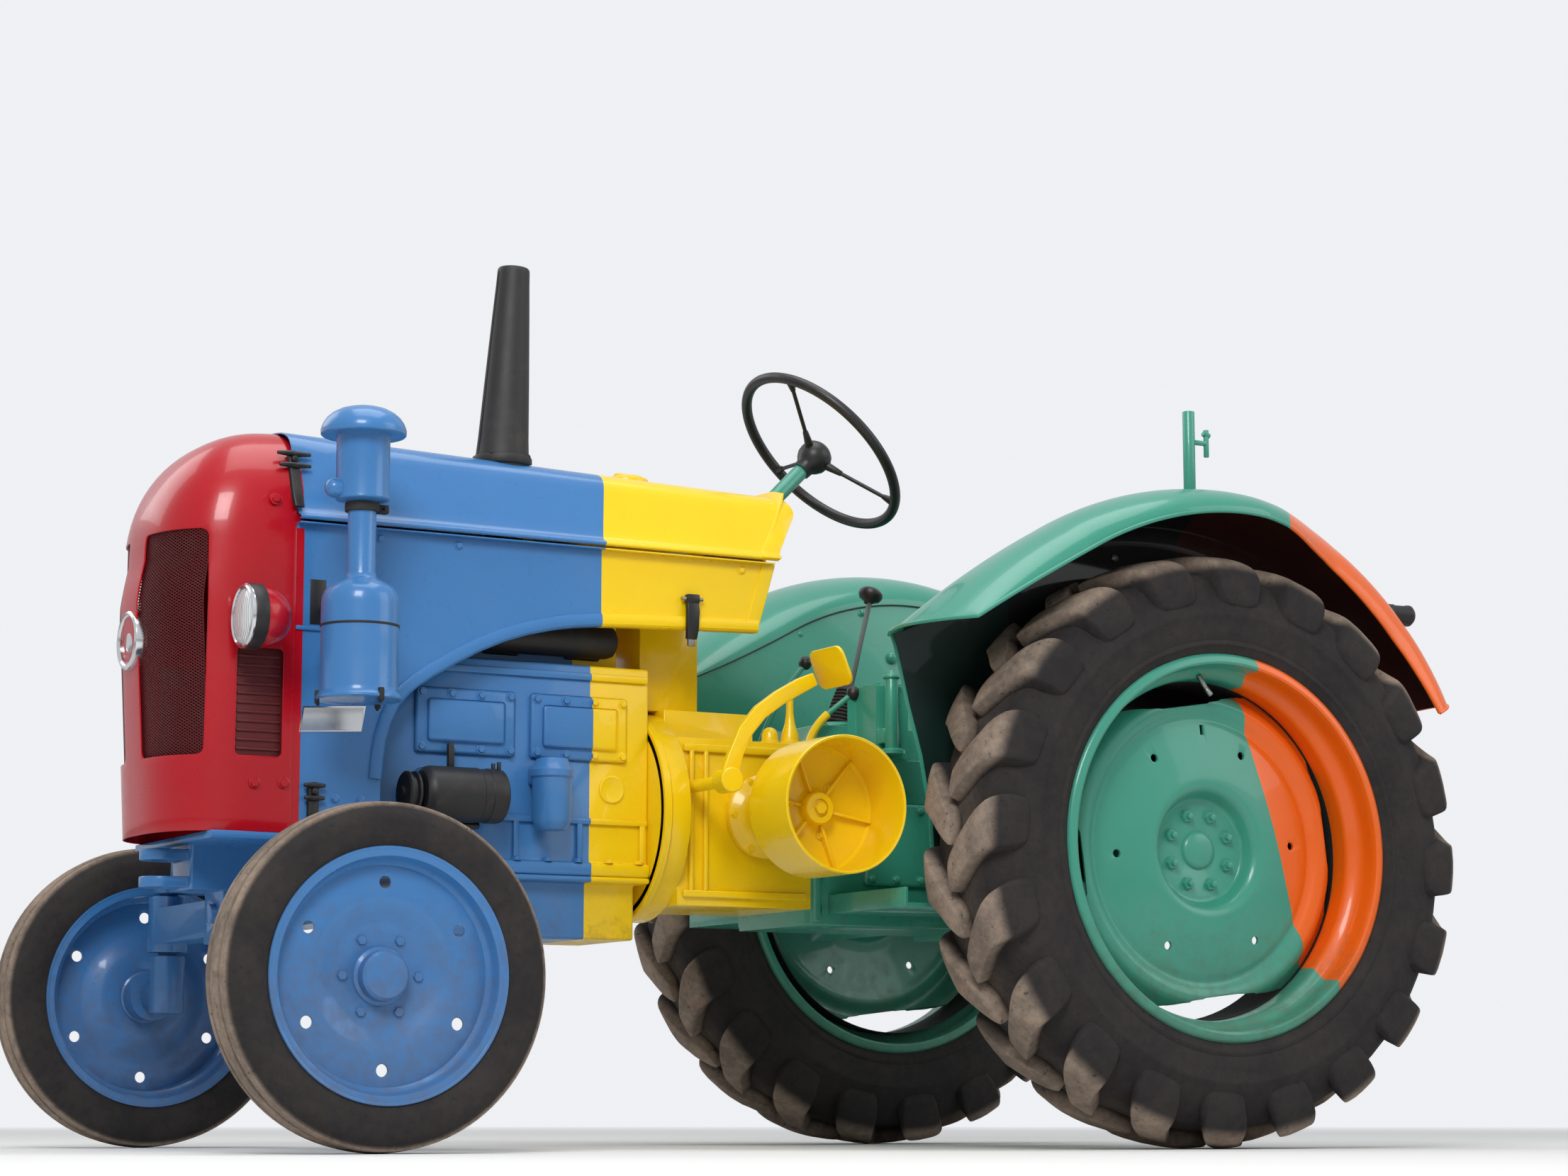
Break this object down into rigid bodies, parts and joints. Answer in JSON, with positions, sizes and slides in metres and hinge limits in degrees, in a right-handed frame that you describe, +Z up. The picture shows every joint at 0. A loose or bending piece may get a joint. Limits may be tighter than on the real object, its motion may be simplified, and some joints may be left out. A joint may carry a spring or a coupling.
{
  "type": "vintage tractor",
  "caption": "Old farm tractor: painted hood and nose, open engine sides, arched fenders, lugged rear tyres, steered front axle, belt pulley and upright exhaust.",
  "frame": {"origin": "on the ground, under the middle of the tractor's box", "axes": "+X forward along the tractor's length, +Y to its left, +Z up"},
  "size_m": [2.6352, 1.59, 1.7216],
  "materials": {
    "paint_red": "gloss crimson enamel",
    "paint_blue": "gloss mid-blue enamel",
    "paint_yellow": "gloss yellow enamel",
    "paint_green": "gloss turquoise-green enamel",
    "paint_black": "satin black enamel",
    "mesh_maroon": "dark maroon mesh",
    "lamp_red": "dark red",
    "grip_black": "worn black",
    "tyre": "dusty grey-brown rubber",
    "steel": "plain steel",
    "chrome": "polished",
    "glass": "clear"
  },
  "bodies": {
    "chassis": {"front_support": "paint_blue", "front_axle": "paint_blue", "engine_block": "paint_blue", "cylinder_head": "paint_blue", "oil_sump": "paint_blue", "exhaust_manifold": "paint_black", "injection_pump": "paint_blue", "dynamo": "paint_black", "radiator": "paint_black", "nose_shell": "paint_red", "nose_grille": "mesh_maroon", "nose_ring": "chrome", "headlamps": "paint_black", "headlamp_glass": "glass", "hood_top": "paint_blue", "hood_side_left": "paint_blue", "hood_side_right": "paint_blue", "fuel_tank": "paint_yellow", "filler_cap": "paint_yellow", "dash_panel": "paint_green", "exhaust_stack": "paint_black", "air_cleaner": "paint_blue", "steering_column": "paint_green", "clutch_housing": "paint_yellow", "gearbox": "paint_green", "rear_axle": "paint_green", "pulley_drive": "paint_yellow", "pedals": "paint_yellow", "gear_lever": "grip_black", "side_levers": "paint_green", "foot_plates": "paint_green", "fender_left": "paint_green", "fender_right": "paint_green", "seat_pan": "paint_green", "seat_spring": "paint_black", "lamp_post": "paint_green", "tail_lamps": "lamp_red", "rear_hitch": "paint_black"},
    "steering_wheel": {"steering_wheel": "grip_black"},
    "belt_pulley": {"belt_pulley": "paint_yellow"},
    "knuckle_left": {"knuckle_left": "paint_blue"},
    "knuckle_right": {"knuckle_right": "paint_blue"},
    "tie_rod": {"tie_rod": "steel"},
    "drag_link": {"drag_link": "steel"},
    "drop_arm": {"drop_arm_lever": "paint_blue"},
    "rear_wheel_left": {"rear_tyre_left": "tyre", "rear_rim_left": "paint_green"},
    "rear_wheel_right": {"rear_tyre_right": "tyre", "rear_rim_right": "paint_green"},
    "front_wheel_left": {"front_tyre_left": "tyre", "front_rim_left": "paint_blue"},
    "front_wheel_right": {"front_tyre_right": "tyre", "front_rim_right": "paint_blue"}
  },
  "joints": [
    {"name": "rear_left_spin", "type": "hinge", "parent": "chassis", "child": "rear_wheel_left", "pos_m": [-0.69742, 0.622, 0.578], "axis": [0, 1, 0], "continuous": true},
    {"name": "rear_right_spin", "type": "hinge", "parent": "chassis", "child": "rear_wheel_right", "pos_m": [-0.69742, -0.622, 0.578], "axis": [0, 1, 0], "continuous": true},
    {"name": "steer_right", "type": "hinge", "parent": "chassis", "child": "knuckle_right", "pos_m": [1.01758, -0.48, 0.44], "axis": [0, 0, 1], "range_deg": [-35, 35]},
    {"name": "steer_left", "type": "hinge", "parent": "chassis", "child": "knuckle_left", "pos_m": [1.01758, 0.48, 0.44], "axis": [0, 0, 1], "range_deg": [-35, 35]},
    {"name": "front_left_spin", "type": "hinge", "parent": "knuckle_left", "child": "front_wheel_left", "pos_m": [1.01758, 0.61, 0.3], "axis": [0, 1, 0], "continuous": true},
    {"name": "front_right_spin", "type": "hinge", "parent": "knuckle_right", "child": "front_wheel_right", "pos_m": [1.01758, -0.61, 0.3], "axis": [0, 1, 0], "continuous": true},
    {"name": "tie_rod_pivot", "type": "hinge", "parent": "knuckle_left", "child": "tie_rod", "pos_m": [0.86758, 0.48, 0.484], "axis": [0, 0, 1], "range_deg": [-35, 35]},
    {"name": "drop_arm_swing", "type": "hinge", "parent": "chassis", "child": "drop_arm", "pos_m": [0.18258, -0.29, 0.962], "axis": [0, 1, 0], "range_deg": [-14, 14]},
    {"name": "drag_link_pivot", "type": "hinge", "parent": "drop_arm", "child": "drag_link", "pos_m": [0.18258, -0.3, 0.532], "axis": [0, 1, 0], "range_deg": [-14, 14]},
    {"name": "steering_turn", "type": "hinge", "parent": "chassis", "child": "steering_wheel", "pos_m": [-0.20742, 0, 1.436], "axis": [-0.7071, 0, 0.7071], "range_deg": [-420, 420]},
    {"name": "pulley_spin", "type": "hinge", "parent": "chassis", "child": "belt_pulley", "pos_m": [0.01258, 0.41, 0.65], "axis": [0, 1, 0], "continuous": true}
  ],
  "couplings": [
    {"joint": "steer_left", "follows": "steer_right", "ratio": 1},
    {"joint": "tie_rod_pivot", "follows": "steer_right", "ratio": -1},
    {"joint": "drop_arm_swing", "follows": "steer_right", "ratio": 0.4},
    {"joint": "drag_link_pivot", "follows": "steer_right", "ratio": -0.4},
    {"joint": "steering_turn", "follows": "steer_right", "ratio": 12}
  ]
}
